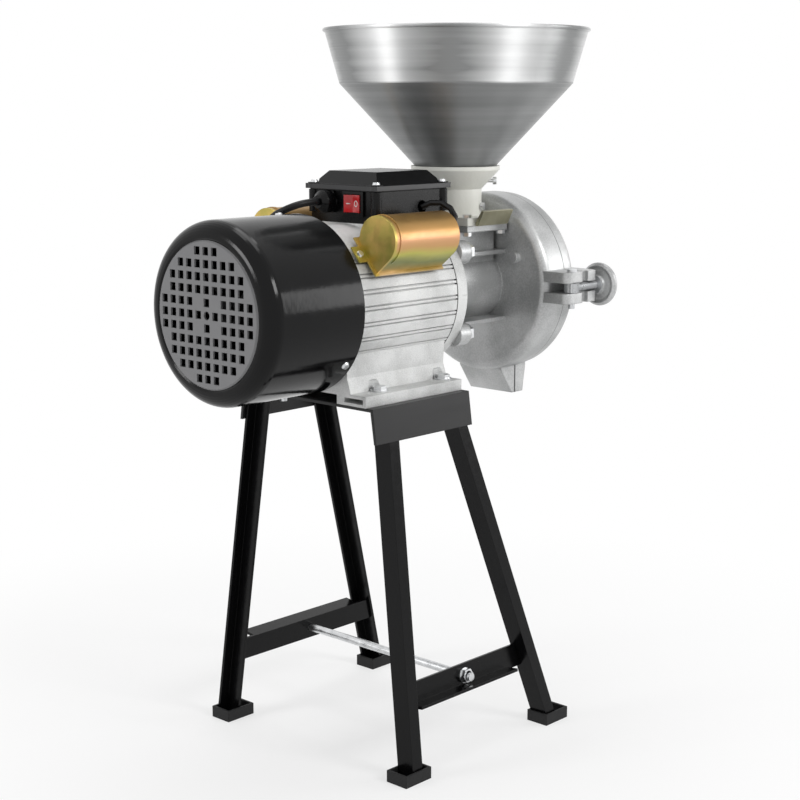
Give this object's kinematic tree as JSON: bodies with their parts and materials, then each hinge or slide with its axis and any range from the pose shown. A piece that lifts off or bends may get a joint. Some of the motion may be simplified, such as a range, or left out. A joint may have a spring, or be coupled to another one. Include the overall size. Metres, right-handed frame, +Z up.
{
  "type": "electric grain mill",
  "caption": "Free-standing electric grain mill: capacitor motor on splayed angle-iron legs, driving a burr mill head with a clamped door, a downward spout and a spun metal hopper.",
  "frame": {"origin": "on the floor under the centre of the bounding box", "axes": "+Z up, +X along the motor shaft from the fan cowl towards the mill head, +Y to the left when looking along +X"},
  "size_m": [0.4865, 0.2815, 0.7276],
  "materials": {
    "black_steel": "gloss black paint",
    "pad_rubber": "matte",
    "zinc": "bright zinc plate",
    "frame_aluminium": "cast, silver paint",
    "electrical_steel": "laminated",
    "copper": "enamelled wire",
    "bearing_steel": "ground",
    "shaft_steel": "turned",
    "fan_plastic": "matte black",
    "cowl_black": "gloss black paint",
    "yellow_zinc": "yellow chromate zinc plate",
    "can_aluminium": "drawn",
    "lead_black": "satin",
    "box_black": "semi-gloss black",
    "gasket": "matte",
    "joint_ring": "fibre",
    "rocker_red": "gloss red",
    "cast_aluminium": "sand cast",
    "tool_steel": "hardened",
    "throat_white": "cream white",
    "gate_zinc": "olive chromate zinc plate",
    "spun_aluminium": "spun, fine rings",
    "cord_black": "satin black",
    "tie_black": "black"
  },
  "bodies": {
    "housing": {"stand_top": "black_steel", "leg_fan_near": "black_steel", "leg_fan_far": "black_steel", "leg_head_near": "black_steel", "leg_head_far": "black_steel", "crossbar_near": "black_steel", "crossbar_far": "black_steel", "foot_pads": "pad_rubber", "tie_rod": "zinc", "tie_rod_nuts": "zinc", "motor_foot_bolts": "zinc", "motor_frame": "frame_aluminium", "stator_core": "electrical_steel", "windings": "copper", "rear_end_shield": "frame_aluminium", "front_end_shield": "frame_aluminium", "shield_screws": "zinc", "bearing_outer_races": "bearing_steel", "fan_cowl": "cowl_black", "cover_screws": "zinc", "capacitor_cover_near": "yellow_zinc", "capacitor_cover_far": "yellow_zinc", "capacitors": "can_aluminium", "capacitor_leads": "lead_black", "switch_box": "box_black", "box_gasket": "gasket", "box_lid": "box_black", "lid_screws": "zinc", "switch_body": "box_black", "cable_gland": "box_black", "mill_body": "cast_aluminium", "head_bolts": "zinc", "shaft_seal": "gasket", "door": "cast_aluminium", "door_gasket": "joint_ring", "hinge_pin": "zinc", "clamp_pin": "zinc", "lock_nut": "zinc", "feed_throat": "throat_white", "throat_bolts": "zinc", "hopper": "spun_aluminium", "hopper_screws": "zinc", "power_cord": "cord_black", "cord_coil": "cord_black", "plug": "cord_black", "cord_tie": "tie_black"},
    "rotor": {"shaft": "shaft_steel", "rotor_core": "electrical_steel", "fan": "fan_plastic", "bearing_inner_races": "bearing_steel", "auger": "tool_steel", "rotating_burr": "tool_steel"},
    "clamp_bolt": {"swing_bolt": "shaft_steel"},
    "clamp_washer": {"clamp_washer": "zinc"},
    "clamp_wheel": {"clamp_wheel": "cast_aluminium"},
    "burr_carrier": {"fixed_burr": "tool_steel"},
    "adjuster": {"adjusting_screw": "shaft_steel", "adjusting_wheel": "cast_aluminium"},
    "switch_rocker": {"rocker": "rocker_red"},
    "feed_gate": {"slide_gate": "gate_zinc"}
  },
  "joints": [
    {"name": "rotor_spin", "type": "hinge", "parent": "housing", "child": "rotor", "pos_m": [-0.0123, 0, 0.4595], "axis": [1, 0, 0], "continuous": true},
    {"name": "clamp_swing", "type": "hinge", "parent": "housing", "child": "clamp_bolt", "pos_m": [0.1547, -0.118, 0.461], "axis": [0, 0, -1], "range_deg": [0, 95]},
    {"name": "clamp_slide", "type": "slide", "parent": "clamp_bolt", "child": "clamp_washer", "axis": [1, 0, 0], "range_m": [0, 0.0071]},
    {"name": "clamp_turn", "type": "hinge", "parent": "clamp_washer", "child": "clamp_wheel", "pos_m": [0.1962, -0.118, 0.461], "axis": [1, 0, 0], "range_deg": [0, 1440]},
    {"name": "burr_slide", "type": "slide", "parent": "housing", "child": "burr_carrier", "axis": [1, 0, 0], "range_m": [-0.0008, 0.004]},
    {"name": "adjust_turn", "type": "hinge", "parent": "burr_carrier", "child": "adjuster", "pos_m": [0.2207, 0, 0.4595], "axis": [1, 0, 0], "range_deg": [-144, 720]},
    {"name": "rocker_tilt", "type": "hinge", "parent": "housing", "child": "switch_rocker", "pos_m": [-0.0603, -0.0145, 0.5545], "axis": [0, 0, 1], "range_deg": [-16, 0]},
    {"name": "gate_slide", "type": "slide", "parent": "housing", "child": "feed_gate", "axis": [0, -1, 0], "range_m": [0, 0.04]}
  ],
  "couplings": [
    {"joint": "clamp_slide", "follows": "clamp_turn", "m_per_rad": 0.00027852},
    {"joint": "adjust_turn", "follows": "burr_slide", "rad_per_m": 3141.6}
  ]
}
